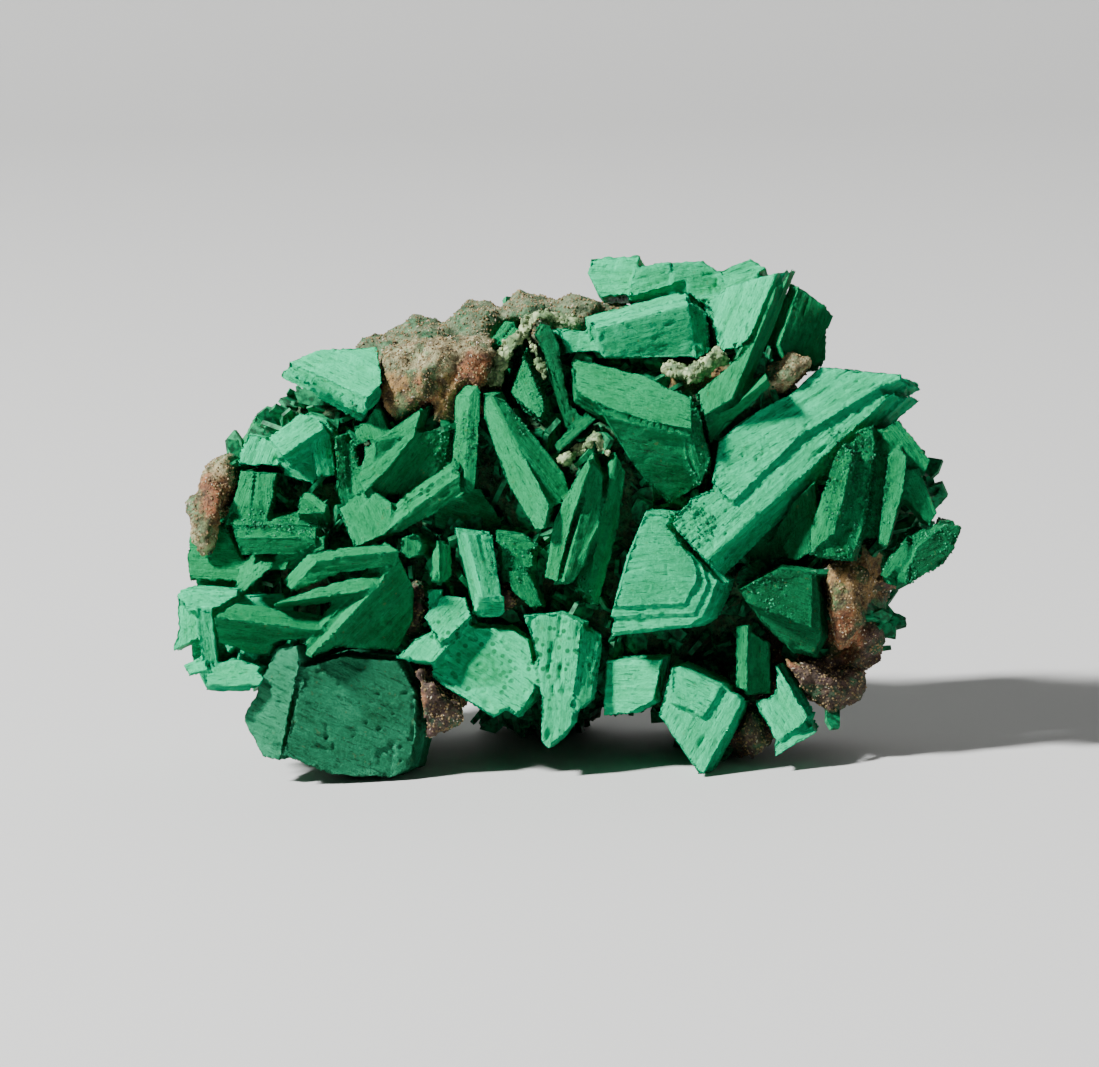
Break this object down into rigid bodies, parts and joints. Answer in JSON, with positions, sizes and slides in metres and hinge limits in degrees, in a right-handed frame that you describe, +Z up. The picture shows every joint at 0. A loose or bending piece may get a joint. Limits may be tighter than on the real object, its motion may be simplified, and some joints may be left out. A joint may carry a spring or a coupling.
{
  "type": "mineral specimen",
  "caption": "Cabinet specimen of malachite after barite: thick tabular green blades grown in a rounded cluster on brown limonite matrix.",
  "frame": {"origin": "on the surface that the specimen rests on, under the middle of its bounding box", "axes": "+Z up, +X to the right and -Y towards the viewer in the front view that the picture shows"},
  "size_m": [0.0805, 0.049, 0.0504],
  "materials": {
    "malachite_green": "silky, striated",
    "malachite_mint": "satin, pale and fibrous",
    "malachite_dark": "dark, finely crystalline",
    "malachite_grey": "dull, pitted",
    "pale_crust": "matt, crackled",
    "gossan": "granular, with small sparkling crystals"
  },
  "bodies": {
    "root": {"left_fan_blades": "malachite_green", "crusted_blades": "malachite_green", "stick_blade": "malachite_green", "upper_left_blades": "malachite_green", "central_prisms": "malachite_green", "rough_centre_blades": "malachite_green", "small_left_prisms": "malachite_green", "shield_blade": "malachite_green", "v_blade": "malachite_green", "crust_blade": "malachite_green", "right_back_plate": "malachite_green", "small_sticks": "malachite_green", "right_vertical_blades": "malachite_green", "thin_vertical_blades": "malachite_green", "rear_blades_01": "malachite_green", "rear_blades_02": "malachite_green", "rear_blades_03": "malachite_green", "rear_blades_04": "malachite_green", "rear_blades_05": "malachite_green", "rear_blades_06": "malachite_green", "rear_blades_07": "malachite_green", "rear_blades_08": "malachite_green", "rear_blades_09": "malachite_green", "rear_blades_10": "malachite_green", "rear_blades_11": "malachite_green", "rear_blades_12": "malachite_green", "rear_blades_13": "malachite_green", "left_end_blades": "malachite_mint", "bright_slab": "malachite_mint", "upper_left_wing": "malachite_mint", "vertical_prism": "malachite_mint", "centre_plates": "malachite_mint", "great_slab": "malachite_mint", "book_plate": "malachite_mint", "top_box_blade": "malachite_mint", "top_back_blades": "malachite_mint", "pointed_plate": "malachite_mint", "recessed_blade": "malachite_mint", "bottom_right_plates": "malachite_mint", "dark_prism": "malachite_dark", "right_wing": "malachite_dark", "right_dark_blades": "malachite_dark", "slab_shadow_blades": "malachite_dark", "front_left_plates": "malachite_grey", "pale_crust": "pale_crust", "centre_nodules": "pale_crust", "upper_nodules": "pale_crust", "matrix": "gossan"}
  },
  "joints": []
}
